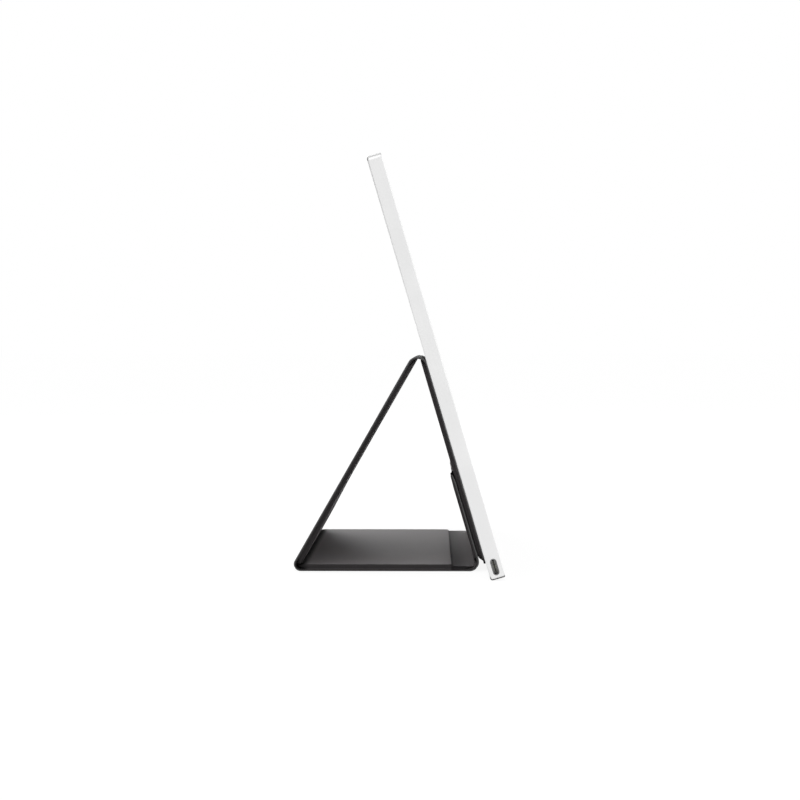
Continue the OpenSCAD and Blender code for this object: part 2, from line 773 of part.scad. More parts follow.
module back_panel_skin() {
    color([0.2, 0.2, 0.21]) at_back() panel_skin(seam_gap, back_len, true);
}
module back_panel_board() {
    color([0.45, 0.42, 0.38]) at_back() difference() {
        board_blank(back_board, back_t);
        for (rise = magnet_rows)
            bars(magnet_cols, back_z(rise), skin_t, magnet_t, fit_gap);
        bars(flap_magnet_cols, back_z(keeper_rise), keeper_x, keeper_t, fit_gap);
    }
}
module back_panel_lining() {
    color([0.16, 0.16, 0.17]) at_back()
        panel_lining(back_len, [-apex_r, back_len - pad_inset], back_side, back_board, back_t, true);
}
module back_panel_magnets() {
    color([0.6, 0.6, 0.62]) at_back() for (rise = magnet_rows)
        bars(magnet_cols, back_z(rise), skin_t, magnet_t);
}
module back_panel_keepers() {
    color([0.7, 0.7, 0.7]) at_back()
        bars(flap_magnet_cols, back_z(keeper_rise), keeper_x, keeper_t);
}
module apex_fold_skin() {
    color([0.2, 0.2, 0.21]) fold_skin(apex_c, apex_r, back_face, leg_face);
}
module apex_fold_lining() {
    color([0.16, 0.16, 0.17]) fold_lining(apex_c, apex_r, back_face, leg_face);
}

// ---- cover: leg panel ----

module at_leg() { at_fold(rear_c, rear_r, leg_face) children(); }

module leg_panel_skin() {
    color([0.2, 0.2, 0.21]) at_leg() panel_skin(seam_gap, leg_span - seam_gap);
}
module leg_panel_board() { color([0.45, 0.42, 0.38]) at_leg() board_blank(leg_board, leg_t); }
module leg_panel_lining() {
    color([0.16, 0.16, 0.17]) at_leg()
        panel_lining(leg_span - seam_gap, [-rear_r, leg_span + apex_r], leg_side, leg_board, leg_t);
}
module rear_fold_skin() {
    color([0.2, 0.2, 0.21]) fold_skin(rear_c, rear_r, leg_face, base_face);
}
module rear_fold_lining() {
    color([0.16, 0.16, 0.17]) fold_lining(rear_c, rear_r, leg_face, base_face);
}

// ---- cover: base panel, on the table ----

module at_base() { at_fold(front_c, front_r, base_face) children(); }

module base_panel_skin() {
    color([0.2, 0.2, 0.21]) at_base() panel_skin(seam_gap, base_len - seam_gap);
}
module base_panel_board() { color([0.45, 0.42, 0.38]) at_base() board_blank(base_board, base_t); }
module base_panel_lining() {
    color([0.16, 0.16, 0.17]) at_base()
        panel_lining(base_len - seam_gap, [-front_r, base_len + rear_r], base_side, base_board, base_t);
}
module front_fold_skin() {
    color([0.2, 0.2, 0.21]) fold_skin(front_c, front_r, base_face, flap_face);
}
module front_fold_lining() {
    color([0.16, 0.16, 0.17]) fold_lining(front_c, front_r, base_face, flap_face);
}

// ---- cover: front flap, held against the rear panel ----

module at_flap() { at_fold(front_c, front_r, flap_face) children(); }

module flap_skin() {
    color([0.2, 0.2, 0.21]) at_flap()
        panel_slab([[0, -seam_gap], [0, tip_z], [tip_lift, -flap_len], [skin_t, -flap_len],
            [skin_t, -seam_gap]], -flap_len, -seam_gap, 0, true, false, panel_corner_r);
}
module flap_board() {
    color([0.45, 0.42, 0.38]) at_flap() difference() {
        board_blank(flap_board_z, flap_t);
        bars(flap_magnet_cols, flap_magnet_z, skin_t, flap_magnet_t, fit_gap);
    }
}
module flap_lining() {
    color([0.16, 0.16, 0.17]) at_flap() difference() {
        union() {
            panel_slab([[skin_t, -seam_gap], [skin_t, -flap_len], [tip_end, -flap_len],
                [strip_t, tip_z], [strip_t, -seam_gap]],
                -flap_len, -seam_gap, 0, true, false, panel_corner_r);
            panel_slab(flap_side, pad_inset - flap_len, front_r, pad_inset, true, true,
                panel_corner_r - pad_inset);
        }
        board_blank(flap_board_z, flap_t, past);
    }
}
module flap_magnets() {
    color([0.6, 0.6, 0.62]) at_flap()
        bars(flap_magnet_cols, flap_magnet_z, skin_t, flap_magnet_t);
}

rear_housing();
front_bezel();
bezel_tape();
lcd_cell();
prism_films();
diffuser_film();
light_guide_plate();
reflector_sheet();
led_strip();
panel_frame();
panel_back_plate();
timing_board();
cell_flex_tails();
foam_strips();
main_board();
main_board_chips();
side_board();
side_ribbon();
display_ribbon();
light_ribbon();
board_screws();
usb_c_shell_left();
usb_c_tongue_left();
usb_c_shell_right();
usb_c_tongue_right();
button_switches();
power_button();
menu_button();
housing_magnets();
back_panel_skin();
back_panel_board();
back_panel_lining();
back_panel_magnets();
back_panel_keepers();
apex_fold_skin();
apex_fold_lining();
leg_panel_skin();
leg_panel_board();
leg_panel_lining();
rear_fold_skin();
rear_fold_lining();
base_panel_skin();
base_panel_board();
base_panel_lining();
front_fold_skin();
front_fold_lining();
flap_skin();
flap_board();
flap_lining();
flap_magnets();
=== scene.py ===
import json
from math import asin, atan2, cos, degrees, exp, radians, sin, sqrt

import bmesh
import bpy
from mathutils import Matrix, Vector


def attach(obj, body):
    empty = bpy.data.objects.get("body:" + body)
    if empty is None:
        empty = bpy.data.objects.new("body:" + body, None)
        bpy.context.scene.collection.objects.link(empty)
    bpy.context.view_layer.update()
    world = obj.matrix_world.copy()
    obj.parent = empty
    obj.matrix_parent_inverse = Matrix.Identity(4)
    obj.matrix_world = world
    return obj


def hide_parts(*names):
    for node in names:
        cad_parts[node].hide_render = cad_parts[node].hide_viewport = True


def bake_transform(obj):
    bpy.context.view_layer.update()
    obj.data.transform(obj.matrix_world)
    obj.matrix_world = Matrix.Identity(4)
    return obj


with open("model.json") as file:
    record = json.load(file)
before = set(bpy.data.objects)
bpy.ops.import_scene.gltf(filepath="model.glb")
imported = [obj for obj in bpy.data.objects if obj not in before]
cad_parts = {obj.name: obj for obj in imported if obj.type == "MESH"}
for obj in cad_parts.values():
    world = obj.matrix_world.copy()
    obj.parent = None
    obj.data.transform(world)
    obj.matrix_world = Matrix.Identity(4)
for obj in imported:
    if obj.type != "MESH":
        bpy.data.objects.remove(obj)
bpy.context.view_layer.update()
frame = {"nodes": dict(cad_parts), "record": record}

mm = 0.001

# sizes in millimetres and degrees, as the solids have them
monitorSizes = dict(width=360, thick=8.3, lean=16.4, sideBezel=7.65, socketRise=7.1)
coverSizes = dict(
    width=250, skin=0.7, lining=0.6, cornerR=5, padInset=1.2, gap=0.1,
    apexR=6, rearR=4.0, frontR=5.4, tuckGap=0.1, tuckAngle=3,  # the three folds
    creaseDepth=0.16, creaseAngle=5,
    back=3.25, apexRise=124, freeRise=4.4, freeSlope=4.2,  # panel behind the monitor
    leg=3.1, legLen=131.6, legFoot=4, footLen=14, taperLen=26,  # thicker at its foot
    base=3.8, frontStrip=2.8, bareStrip=9.5, stepLen=1.2,  # lower strip in front
    flap=2.2, flapLen=52, flapStepLen=6, flapGap=0.15,
    edgeThick=0.3, tipLen=7, tipLift=1.35, tipCornerR=1.8,  # its thinned end
    sideLift=0.15, sideReach=8, liftStart=2, liftReach=10,  # its lifted corner
    unevenness=0.07, evenRim=14)


def foldPlan(m, c):  # where the cover folds, with the folds' outer radii and the panels' faces
    lean = radians(m["lean"])
    apexOff = c["gap"] + c["apexR"]
    frontOff = c["gap"] + c["back"] + c["flapGap"] + c["frontR"]
    frontRise = (c["frontR"] + frontOff * sin(lean)) / cos(lean)
    apexX = -apexOff * cos(lean) - c["apexRise"] * sin(lean)
    apexZ = -apexOff * sin(lean) + c["apexRise"] * cos(lean)
    frontX = -frontOff * cos(lean) - frontRise * sin(lean)
    rearX = apexX - sqrt(c["legLen"] ** 2 - (apexZ - c["rearR"]) ** 2)
    foot = -(frontX + rearX) / 2
    tilt = asin((c["apexR"] - c["rearR"]) / c["legLen"])
    legFace = 180 - degrees(atan2(apexX - rearX, apexZ - c["rearR"]) - tilt)
    return dict(
        foot=foot, legSpan=c["legLen"] * cos(tilt), baseLen=frontX - rearX,
        backFace=m["lean"], legFace=legFace, baseFace=270, flapFace=360 + m["lean"],
        apexTurn=legFace - m["lean"], rearTurn=270 - legFace, frontTurn=90 + m["lean"],
        apex=(foot + apexX, apexZ, c["apexR"]), rear=(foot + rearX, c["rearR"], c["rearR"]),
        front=(foot + frontX, c["frontR"], c["frontR"]))


plan = foldPlan(monitorSizes, coverSizes)


def leaningPlace():  # from the monitor's own side view to the row frame
    a = radians(monitorSizes["lean"])
    return Matrix(((cos(a), 0, -sin(a), plan["foot"] * mm), (0, 1, 0, 0),
                   (sin(a), 0, cos(a), 0), (0, 0, 0, 1)))


def panelPlace(fold, face):  # X into the panel from its outer face, Z along it from the fold
    x, z, r = (value * mm for value in plan[fold])
    a = radians(face)
    return Matrix(((-cos(a), 0, sin(a), x + r * cos(a)), (0, 1, 0, 0),
                   (-sin(a), 0, -cos(a), z + r * sin(a)), (0, 0, 0, 1)))


class Signal:  # an output socket that takes part in sums
    def __init__(self, finish, socket):
        self.finish, self.socket = finish, socket

    def math(self, operation, *values):
        return self.finish.add("ShaderNodeMath", {"operation": operation}, dict(enumerate(values)))

    def __add__(self, other):
        return self.math("ADD", self, other)

    def __sub__(self, other):
        return self.math("SUBTRACT", self, other)

    def __rsub__(self, other):
        return self.math("SUBTRACT", other, self)

    def __mul__(self, other):
        return self.math("MULTIPLY", self, other)

    def step(self, low, high):  # 0 below low and 1 above high, smooth in between
        return self.finish.add("ShaderNodeMapRange", {"interpolation_type": "SMOOTHSTEP"},
                               {"Value": self, "From Min": low, "From Max": high})

    __radd__ = __add__
    __rmul__ = __mul__


def tone(red, green=None, blue=None):  # display levels from 0 to 255 as a shader colour
    levels = [red, red if green is None else green, red if blue is None else blue]
    return [((v / 255 + 0.055) / 1.055) ** 2.4 if v > 10 else v / 255 / 12.92
            for v in levels] + [1]


class Finish:  # one material, with what its nodes share
    def __init__(self, name):
        self.material = bpy.data.materials.new(name)
        self.material.use_nodes = True
        self.tree = self.material.node_tree
        self.tree.nodes.clear()
        self.output = self.tree.nodes.new("ShaderNodeOutputMaterial")
        self.place = self.add("ShaderNodeTexCoord", out="Object")

    def add(self, kind, settings={}, values={}, out=0):
        node = self.tree.nodes.new(kind)
        for key, value in settings.items():
            setattr(node, key, value)
        for key, value in values.items():
            if isinstance(value, Signal):
                self.tree.links.new(value.socket, node.inputs[key])
            else:
                node.inputs[key].default_value = value
        return Signal(self, node.outputs[out])

    def noise(self, size, detail=2, place=None):  # size of the pattern in millimetres
        return self.add("ShaderNodeTexNoise", {}, {"Vector": place or self.place,
                        "Scale": 1 / (size * mm), "Detail": detail})

    def cells(self, size, feature="F1", place=None):
        return self.add("ShaderNodeTexVoronoi", {"feature": feature}, {
            "Vector": place or self.place, "Scale": 1 / (size * mm)}, out="Distance")

    def stretched(self, factors, turn=0):  # object place, scaled per axis after a turn about Y
        return self.add("ShaderNodeMapping", {"vector_type": "TEXTURE"}, {
            "Vector": self.place, "Rotation": (0, radians(turn), 0),
            "Scale": [1 / f for f in factors]})

    def mix(self, factor, first, second):
        return self.add("ShaderNodeMix", {"data_type": "RGBA", "clamp_factor": True},
                        {0: factor, 6: first, 7: second}, out=2)

    def shader(self, colour, roughness, height, depth, **fixed):  # depth of relief in mm
        values = {"Base Color": colour, "Roughness": roughness}
        values.update({key.replace("_", " "): value for key, value in fixed.items()})
        values["Normal"] = self.add("ShaderNodeBump", {}, {
            "Height": height, "Distance": depth * mm, "Strength": 1})
        return self.add("ShaderNodeBsdfPrincipled", {}, values)

    def finished(self, shader):
        self.tree.links.new(shader.socket, self.output.inputs[0])
        return self.material

    def surface(self, *values, **fixed):
        return self.finished(self.shader(*values, **fixed))


def blastedMetal(name, level, rough, grain=0.25, warm=0):  # bead-blasted and anodised
    f = Finish(name)
    fine, broad = f.noise(grain, 3), f.noise(40, 2)
    worn = broad.step(0.35, 0.75) * 0.6 + fine * 0.4
    colour = f.mix(worn, tone(level - 5, level - 5, level - 5 - warm),
                   tone(level + 3, level + 3, level + 3 - warm))
    return f.surface(colour, fine * 0.12 + broad * 0.06 + (rough - 0.09), fine, 0.006, Metallic=1)


def rolledSteel(name, level, rough):  # drawn sheet or plating, with faint lines
    f = Finish(name)
    lines = f.noise(0.5, 4, f.stretched((1, 0.06, 1)))
    stain = f.noise(12, 3)
    colour = f.mix(lines * 0.6 + stain * 0.4, tone(level - 22), tone(level + 12))
    return f.surface(colour, lines * 0.2 + (rough - 0.08), lines, 0.004, Metallic=1)


def leather(name):  # pressed grain of a coated outer skin, with a painted highlight on its cut edge
    s = dict(pebble=0.85, crease=3.6, bendScale=900, bend=0.5, cutFrom=0.24, cutTo=0.08)
    f = Finish(name)
    side = f.add("ShaderNodeSeparateXYZ", {}, {"Vector": f.place}, out="Y")
    half = coverSizes["width"] / 2 * mm
    # painted highlight: the cut sides of the skin are coloured pale as if lit
    cutHighlight = side.math("ABSOLUTE", side).step(half - s["cutFrom"] * mm, half - s["cutTo"] * mm)
    waver = f.add("ShaderNodeTexNoise", {}, {"Vector": f.place, "Scale": s["bendScale"]},
                  out="Color")
    bent = f.add("ShaderNodeVectorMath", {"operation": "MULTIPLY_ADD"}, {
        0: waver, 1: [s["bend"] * mm] * 3, 2: f.place})
    pebble = f.cells(s["pebble"], "DISTANCE_TO_EDGE", bent)
    crease = f.cells(s["crease"], "DISTANCE_TO_EDGE", bent)
    fine, rubbed = f.noise(0.18, 3), f.noise(25, 3)
    top = pebble.step(0.0, 0.3) * 0.75 + crease.step(0.0, 0.06) * 0.25
    colour = f.mix(top, tone(18, 18, 19), f.mix(rubbed.step(0.4, 0.7), tone(34, 34, 35),
                                               tone(42, 42, 43)))
    colour = f.mix(cutHighlight, colour, f.mix(fine, tone(100), tone(130)))
    return f.surface(colour, 0.62 - top * 0.08 - rubbed.step(0.4, 0.8) * 0.06 + fine * 0.05,
                     top * 0.9 + fine * 0.1, 0.05, Specular_IOR_Level=0.2)


def microfibre(name):  # short brushed nap of the lining, with painted shade beside the base's step and at its rear end
    s = dict(stepFrom=37.5, stepTo=38.5, stripEnd=52.5, rearFrom=-47.5, rearTo=-43.5,
             baseTop=4, baseFade=4.6, shadeShare=0.85)  # millimetres along X and up Z, and a share
    f = Finish(name)
    x, z = [f.add("ShaderNodeSeparateXYZ", {}, {"Vector": f.place}, out=axis) for axis in "XZ"]

    def between(axis, low, high):
        return axis.step(s[low] * mm, s[high] * mm)

    # painted shade: a darker, plainer nap mixed in beside the step to the front strip and at the
    # base's rear end under the leg, only on the base
    strip = between(x, "stepFrom", "stepTo") * (1 - between(x, "stepTo", "stripEnd"))
    paintedShade = strip * s["shadeShare"] + 1 - between(x, "rearFrom", "rearTo")
    paintedShade = paintedShade * (1 - between(z, "baseTop", "baseFade"))
    nap = f.noise(0.22, 4, f.stretched((1, 0.35, 1)))
    tuft, brushed = f.cells(0.35), f.noise(30, 2)
    pile = nap * 0.7 + tuft * 0.3
    colour = f.mix(pile, tone(51, 48, 49), f.mix(brushed.step(0.3, 0.7), tone(72, 69, 70),
                                                 tone(83, 80, 81)))
    brushedNap = f.shader(colour, 0.5 + nap * 0.12, pile, 0.012, Specular_IOR_Level=0.15,
                          Sheen_Weight=0.62, Sheen_Roughness=0.35,
                          Sheen_Tint=(1, 0.94, 0.96, 1))
    shadedNap = f.shader(f.mix(pile, tone(30, 28, 29), tone(48, 46, 47)), 0.6 + nap * 0.12, pile,
                       0.006, Specular_IOR_Level=0.1)
    return f.finished(f.add("ShaderNodeMixShader", {}, {0: paintedShade, 1: brushedNap, 2: shadedNap}))


def mouldedPlastic(name, low, high, rough, grain=0.3):
    f = Finish(name)
    spark, cloud = f.noise(grain, 3), f.noise(30, 2)
    colour = f.mix(spark * 0.5 + cloud * 0.5, tone(*low), tone(*high))
    return f.surface(colour, spark * 0.12 + (rough - 0.06), spark, 0.008)


def greyboard(name):  # pressed paper fibres of a stiffener
    f = Finish(name)
    fibre, fleck = f.noise(0.5, 5, f.stretched((1, 0.3, 1))), f.cells(1.6)
    colour = f.mix(fibre * 0.8 + fleck * 0.2, tone(96, 88, 76), tone(150, 140, 124))
    return f.surface(colour, fibre * 0.1 + 0.85, fibre, 0.05)


def circuitBoard(name):  # solder mask over copper tracks, with tinned pads
    f = Finish(name)
    track = f.add("ShaderNodeTexBrick", {"offset": 0.4}, {
        "Vector": f.stretched((1, 1, 1), -monitorSizes["lean"]), "Scale": 160,
        "Mortar Size": 0.06, "Brick Width": 0.9, "Row Height": 0.22}, out="Fac")
    pad = 1 - f.cells(3.1).step(0.10, 0.13)
    weave = f.noise(0.6, 2)
    colour = f.mix(pad, f.mix(track, tone(18, 74, 46), tone(30, 104, 66)), tone(196, 198, 200))
    return f.surface(colour, 0.42 - pad * 0.12 + weave * 0.08, track * 0.6 + pad * 0.4, 0.02,
                     Metallic=pad)


def ribbonFilm(name):  # amber film over long copper tracks
    f = Finish(name)
    lines = f.add("ShaderNodeTexWave", {"bands_direction": "Y", "wave_profile": "SIN"},
                  {"Vector": f.place, "Scale": 420, "Distortion": 0.2}, out="Fac")
    cloud = f.noise(4, 2)
    colour = f.mix(lines.step(0.45, 0.6), tone(150, 84, 28), tone(206, 138, 62))
    return f.surface(colour, 0.35 + cloud * 0.1, lines, 0.01, Metallic=lines.step(0.5, 0.7) * 0.3)


def screenGlass(name):  # matt cell with its dark border round the lit area
    f = Finish(name)
    parts = f.add("ShaderNodeSeparateXYZ", {}, {"Vector": f.place}, out="Y")
    half = (monitorSizes["width"] / 2 - monitorSizes["sideBezel"]) * mm
    border = parts.math("ABSOLUTE", parts).step(half - 1.2 * mm, half - 0.9 * mm)
    etch, dust = f.noise(0.09, 2), f.noise(22, 3)
    colour = f.mix(border, f.mix(dust, tone(11, 12, 15), tone(15, 16, 19)), tone(5, 5, 6))
    return f.surface(colour, 0.2 + etch * 0.1 + dust * 0.04, etch, 0.001, Coat_Roughness=0.3,
                     Coat_Weight=0.35 - border * 0.2)


def opticalSheet(name, low, high, rough, size):  # films and guides behind the cell
    f = Finish(name)
    ridge = f.noise(size, 2, f.stretched((1, 1, 0.1)))
    dots = f.cells(1.1).step(0.12, 0.3)
    colour = f.mix(ridge * 0.5 + dots * 0.5, tone(*low), tone(*high))
    return f.surface(colour, ridge * 0.1 + rough, dots, 0.01)


def openFoam(name):
    f = Finish(name)
    pore, cloud = f.cells(0.5), f.noise(6, 3)
    colour = f.mix(pore.step(0.1, 0.5), tone(20, 20, 20), tone(52, 52, 52))
    return f.surface(colour, 0.9 + cloud * 0.08, pore, 0.2)


def ledChip(name):  # phosphor face in a pale case
    f = Finish(name)
    grain, glow = f.noise(0.2, 2), f.noise(3, 2)
    colour = f.mix(glow.step(0.4, 0.6), tone(226, 214, 150), tone(244, 240, 226))
    return f.surface(colour, 0.4 + grain * 0.2, grain, 0.01)


finishes = dict(
    housing_aluminium=blastedMetal("housingAluminium", 235, 0.42),
    button_aluminium=blastedMetal("buttonAluminium", 226, 0.36, 0.2),
    bezel_plastic=mouldedPlastic("bezelPlastic", (16, 16, 17), (24, 24, 25), 0.5),
    tape=mouldedPlastic("bezelTape", (40, 40, 42), (66, 66, 68), 0.7, 0.8),
    screen_glass=screenGlass("screenGlass"),
    optical_film=opticalSheet("opticalFilm", (214, 220, 226), (240, 243, 246), 0.3, 0.3),
    light_guide_acrylic=opticalSheet("lightGuide", (206, 222, 224), (236, 246, 246), 0.08, 2),
    frame_plastic=mouldedPlastic("framePlastic", (216, 215, 208), (236, 235, 230), 0.5, 0.5),
    led=ledChip("ledChip"),
    plate_steel=rolledSteel("plateSteel", 176, 0.4),
    circuit_board=circuitBoard("circuitBoard"),
    chip_plastic=mouldedPlastic("chipPlastic", (24, 24, 26), (44, 44, 46), 0.55, 0.15),
    flex_film=ribbonFilm("ribbonFilm"),
    foam=openFoam("stripFoam"),
    screw_steel=rolledSteel("screwSteel", 84, 0.36),
    socket_steel=rolledSteel("socketSteel", 150, 0.32),
    magnet=rolledSteel("magnetPlating", 168, 0.25),
    cover_skin=leather("coverLeather"),
    cover_board=greyboard("coverBoard"),
    cover_lining=microfibre("coverMicrofibre"))
contactGold = blastedMetal("contactGold", 206, 0.3, 0.1, 70)
print("finishes made:", len(finishes) + 1)

# distances in metres at which points are merged, and angles in degrees
meshLimits = dict(merge=2e-6, nodeMerge=3e-6, flat=0.6, sharp=38, bevel=40, bevelSteps=2)


def newPiece(name, bm, finish):
    bmesh.ops.remove_doubles(bm, verts=bm.verts, dist=meshLimits["merge"])
    bmesh.ops.dissolve_degenerate(bm, edges=bm.edges, dist=meshLimits["merge"] / 2)
    bmesh.ops.recalc_face_normals(bm, faces=bm.faces)
    mesh = bpy.data.meshes.new(name)
    bm.to_mesh(mesh)
    bm.free()
    mesh.shade_smooth()
    mesh.set_sharp_from_angle(angle=radians(meshLimits["sharp"]))
    mesh.materials.append(finish)
    piece = bpy.data.objects.new(name, mesh)
    bpy.context.scene.collection.objects.link(piece)
    return piece


def settle(piece):  # what its modifiers make becomes its mesh
    graph = bpy.context.evaluated_depsgraph_get()
    mesh = bpy.data.meshes.new_from_object(piece.evaluated_get(graph))
    piece.modifiers.clear()
    old, piece.data = piece.data, mesh
    bpy.data.meshes.remove(old)


def softened(node, name, body, slot, edge):  # a node's shape with its edges broken
    bm = bmesh.new()
    bm.from_mesh(frame["nodes"][node].data)
    bmesh.ops.remove_doubles(bm, verts=bm.verts, dist=meshLimits["nodeMerge"])
    bmesh.ops.dissolve_limit(bm, angle_limit=radians(meshLimits["flat"]), verts=bm.verts,
                             edges=bm.edges)
    piece = newPiece(name, bm, finishes[slot])
    bevel = piece.modifiers.new("edges", "BEVEL")
    bevel.width, bevel.segments = edge * mm, meshLimits["bevelSteps"]
    bevel.limit_method, bevel.angle_limit = "ANGLE", radians(meshLimits["bevel"])
    bevel.harden_normals = True
    settle(piece)
    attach(piece, body)
    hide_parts(node)


def outline(half, low, high, rLow, rHigh, corner=7, along=16):  # closed run of Y and Z points
    centres = [(half - rLow, low + rLow, rLow, -90), (half - rHigh, high - rHigh, rHigh, 0),
               (rHigh - half, high - rHigh, rHigh, 90), (rLow - half, low + rLow, rLow, 180)]
    arcs = [[(y + r * cos(radians(start + 90 * i / corner)),
              z + r * sin(radians(start + 90 * i / corner))) for i in range(corner + 1)]
            for y, z, r, start in centres]
    points = []
    for i, arc in enumerate(arcs):
        (y0, z0), (y1, z1) = arc[-1], arcs[(i + 1) % 4][0]
        points += arc + [(y0 + (y1 - y0) * k / along, z0 + (z1 - z0) * k / along)
                         for k in range(1, along)]
    return points


def layered(rings, place, warp):  # closed form through rings (x, half, low, high, rLow, rHigh)
    bm = bmesh.new()
    loops = []
    for x, *shape in rings:
        loop = []
        for y, z in outline(*shape):
            loop.append(bm.verts.new(place @ (warp(Vector((x, y, z))) * mm)))
        loops.append(loop)
    count = len(loops[0])
    for lower, upper in zip(loops, loops[1:]):
        for i in range(count):
            k = (i + 1) % count
            bm.faces.new((lower[i], lower[k], upper[k], upper[i]))
    for loop, order in ((loops[0], -1), (loops[-1], 1)):  # both ends close round their middle
        middle = bm.verts.new(sum((v.co for v in loop), Vector()) / count)
        for i in range(count):
            bm.faces.new((*(loop[i], loop[(i + 1) % count])[::order], middle))
    bmesh.ops.remove_doubles(bm, verts=bm.verts, dist=0.001 * mm)
    return bm


def ripple(y, z, seed):  # slow unevenness of a glued sheet, from 0 to 1
    return 0.5 + 0.5 * sin(y / 23 + 1.7 * seed) * sin(z / 19 + 0.9 * seed + 0.6 * sin(y / 41))


def easeIn(value, reach):
    t = min(max(value / reach, 0), 1)
    return t * t * (3 - 2 * t)


def panelWarp(low, high, top, seed, taper):  # how a panel's points leave their plain places
    c = coverSizes
    nearSkin, nearTop = 0.3, 1.8  # depths up to and from which a point belongs to a face

    def warp(point):
        x, y, z = point
        edge = min(z - low, high - z, c["width"] / 2 - abs(y))
        sink = c["unevenness"] * ripple(y, z, seed) * easeIn(edge, c["evenRim"])
        if taper:  # the flap thins to its end, and one corner stands off the panel
            side = 1 - easeIn(c["width"] / 2 + y, c["sideReach"])
            t = min(max((low + c["tipLen"] - z) / c["tipLen"], 0), 1)
            rise = c["tipLift"] * t ** 3
            thin = (top - c["edgeThick"]) * t * (2 - t)
            lift = side * (c["sideLift"] * easeIn(-z - c["liftStart"], c["liftReach"]) + rise)
            x = lift + (top - side * rise - (1 - side) * thin) * x / top
        return Vector((x + (sink if x < nearSkin else -sink if x > nearTop else 0), y, z))

    return warp


def tuck(x, r, turn):  # how far a pad reaches into a fold at the depth x
    c = coverSizes
    inner = r - c["skin"] - c["lining"] - c["tuckGap"]
    half = radians(turn / 2 - c["tuckAngle"])
    return min(sqrt(max(0, inner ** 2 - (r - x) ** 2)), max(0, r - x) * sin(half) / cos(half))


def foldEnd(fold, start, sign):  # end of a pad at a fold, for any depth
    r, turn = plan[fold][2], plan[fold + "Turn"]
    return lambda x: start + sign * tuck(x, r, turn)


def stripEdge(layer):  # side of a glued layer: depth from the outer face, and inset
    c = coverSizes
    strip = c["skin"] + c["lining"]
    if layer == "skin":
        return [(0, 0.3), (0.05, 0.12), (0.16, 0.03), (0.3, 0), (c["skin"], 0)]
    return [(c["skin"], 0), (strip - 0.2, 0), (strip - 0.06, 0.06), (strip, 0.22)]


def panelPieces(name, body, fold, face, low, high, tops, padLow, padHigh, freeLow=False,
                freeHigh=False, shelf=None, seed=1):
    # skin and lining of one panel; tops gives the pad's thickness along it, and padLow and
    # padHigh where the pad ends at each depth
    c = coverSizes
    half, strip = c["width"] / 2, c["skin"] + c["lining"]
    place = panelPlace(fold, face)
    top = tops(0.5 * (low + high))
    warp = panelWarp(low, high, top, seed, taper=freeLow)
    corners = [c["tipCornerR"] if freeLow else c["cornerR"], c["cornerR"]]

    def rim(x, inset, folds=0.0):  # ring of the whole panel; only free edges are rounded
        radii = [max(r - inset, 0.4) for r in corners]
        return (x, half - inset, low + (inset if freeLow else folds),
                high - (inset if freeHigh else folds), radii[0] if freeLow else 0,
                radii[1] if freeHigh else 0)

    def padRing(x, inset, start=None):
        return (x, half - c["padInset"] - inset, (padLow(x) if start is None else start) + inset,
                padHigh(x) - inset, *(max(r - c["padInset"] - inset, 0.5) for r in corners))

    # rings towards the middle, left out where a short panel has no room for them
    wide = [inset for inset in (40, 20, 8, 3) if inset < 0.4 * (high - low)]
    skinRings = [rim(0, inset, inset) for inset in wide]
    skinRings += [rim(*point) for point in stripEdge("skin")] + [rim(c["skin"], 3, 3)]
    skin = newPiece(name + "Skin", layered(skinRings, place, warp), finishes["cover_skin"])
    liningRings = [rim(c["skin"], 3, 3)] + [rim(*point) for point in stripEdge("lining")]
    liningRings += [padRing(strip - 0.1, -0.3), padRing(strip + 0.05, -0.12)]
    start = None
    if shelf:  # lower strip in front of the board
        level, start = shelf
        liningRings += [padRing(level * k + strip * (1 - k), 0) for k in (0.3, 0.6, 0.86)]
        liningRings += [padRing(level + rise, 0, padLow(level) + reach)
                        for rise, reach in ((-0.06, 0.08), (0, 0.4))]
        liningRings += [padRing(level + rise, 0, start + reach)
                        for rise, reach in ((0, -0.5), (0.06, -0.1), (0.2, 0.1))]
        start += c["stepLen"] * 0.6
        strip = level
    wallLow, wallHigh = strip + 0.25, top - 0.5
    steps = 3 if wallHigh > wallLow + 0.3 else 1
    liningRings += [padRing(wallLow + (wallHigh - wallLow) * k / max(steps - 1, 1), 0, start)
                    for k in range(steps)]
    crown = [(0.32, 0.1), (0.13, 0.26), (0.03, 0.5), (0, 0.85)]  # depth under the top, and inset
    liningRings += [padRing(top - depth, inset, start) for depth, inset in crown]
    liningRings += [padRing(top, inset, start)
                    for inset in (3, 8, 18, 36 if high - low > 90 else 20)]

    def swell(point):  # the pad is thicker where its end is
        x, y, z = point
        t = easeIn(x - c["skin"] - c["lining"], top - c["skin"] - c["lining"] - 0.4)
        return warp(Vector((x + (tops(z) - top) * t, y, z)))

    lining = newPiece(name + "Lining", layered(liningRings, place, swell),
                      finishes["cover_lining"])
    for piece, node, slot in ((skin, "_skin", "cover_skin"), (lining, "_lining", "cover_lining")):
        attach(piece, body)
        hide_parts((body if body != "front_flap" else "flap") + node)


